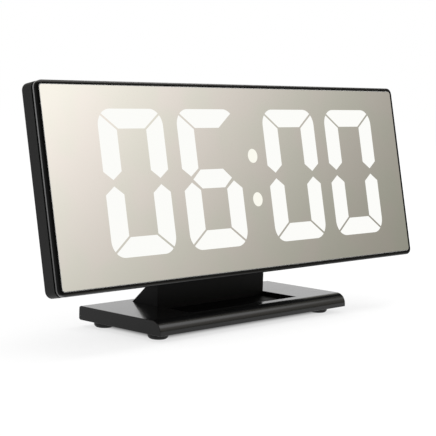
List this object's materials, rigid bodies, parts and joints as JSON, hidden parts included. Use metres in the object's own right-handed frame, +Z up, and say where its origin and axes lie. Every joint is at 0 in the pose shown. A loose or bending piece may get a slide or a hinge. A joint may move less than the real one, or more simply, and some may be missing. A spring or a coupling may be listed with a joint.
{
  "type": "digital led desk clock",
  "caption": "Slim mirror-faced digital clock with lit segment figures, leaning back on a wedge neck and a flat base, with press keys and a hinged battery door behind.",
  "frame": {"origin": "on the table, under the middle of the clock's box", "axes": "+X to the right as seen from the front, +Y to the back, +Z up; the display faces -Y and leans back"},
  "size_m": [0.19, 0.041, 0.0875],
  "materials": {
    "base_gloss": "smooth black moulding",
    "floor_black": "satin black moulding",
    "neck_black": "satin black moulding",
    "foot_rubber": "matte rubber",
    "frame_black": "satin black moulding",
    "cover_black": "fine textured black moulding",
    "mirror_face": "mirror film on acrylic",
    "mirror_dark": "mirror film over unlit segments",
    "lit_white": "lit white",
    "lit_dot": "lit warm white",
    "tape_black": "adhesive foam tape",
    "housing_white": "white reflective moulding",
    "board_green": "solder mask on glass laminate",
    "chip_black": "moulded chip package",
    "led_yellow": "phosphor on white package",
    "screw_steel": "zinc plated",
    "contact_nickel": "nickel plated strip",
    "cell_wrap": "printed-free film wrap on a steel can",
    "ribbon_grey": "flat lead",
    "buzzer_black": "moulded sounder can",
    "key_black": "satin key caps",
    "plunger_white": "switch plunger"
  },
  "bodies": {
    "clock": {"base_cover": "base_gloss", "base_floor": "floor_black", "neck_bracket": "neck_black", "feet": "foot_rubber", "front_frame": "frame_black", "rear_cover": "cover_black", "mirror_lens": "mirror_face", "unlit_segments": "mirror_dark", "hour_tens": "lit_white", "hour_units": "lit_white", "minute_tens": "lit_white", "minute_units": "lit_white", "colon_dots": "lit_dot", "lens_tape": "tape_black", "segment_housing": "housing_white", "display_board": "board_green", "control_board": "board_green", "display_driver": "chip_black", "control_chip": "chip_black", "key_switches": "chip_black", "display_leds": "led_yellow", "base_screws": "screw_steel", "stand_screws": "screw_steel", "board_screws": "screw_steel", "cover_screws": "screw_steel", "control_screws": "screw_steel", "cell_plates": "contact_nickel", "cell_springs": "contact_nickel", "clock_crystal": "contact_nickel", "usb_socket": "contact_nickel", "battery_cells": "cell_wrap", "ribbon_cable": "ribbon_grey", "buzzer": "buzzer_black"},
    "set_button": {"set_key": "key_black", "set_plunger": "plunger_white"},
    "mode_button": {"mode_key": "key_black", "mode_plunger": "plunger_white"},
    "up_button": {"up_key": "key_black", "up_plunger": "plunger_white"},
    "down_button": {"down_key": "key_black", "down_plunger": "plunger_white"},
    "door": {"battery_door": "cover_black"}
  },
  "joints": [
    {"name": "set_press", "type": "slide", "parent": "clock", "child": "set_button", "axis": [0, -0.9789, 0.2045], "range_m": [0, 0.0005], "stiffness_N_per_m": 800},
    {"name": "mode_press", "type": "slide", "parent": "clock", "child": "mode_button", "axis": [0, -0.9789, 0.2045], "range_m": [0, 0.0005], "stiffness_N_per_m": 800},
    {"name": "up_press", "type": "slide", "parent": "clock", "child": "up_button", "axis": [0, -0.9789, 0.2045], "range_m": [0, 0.0005], "stiffness_N_per_m": 800},
    {"name": "down_press", "type": "slide", "parent": "clock", "child": "down_button", "axis": [0, -0.9789, 0.2045], "range_m": [0, 0.0005], "stiffness_N_per_m": 800},
    {"name": "door_hinge", "type": "hinge", "parent": "clock", "child": "door", "pos_m": [0, 0.00924, 0.02247], "axis": [-1, 0, 0], "range_deg": [0, 85]}
  ]
}
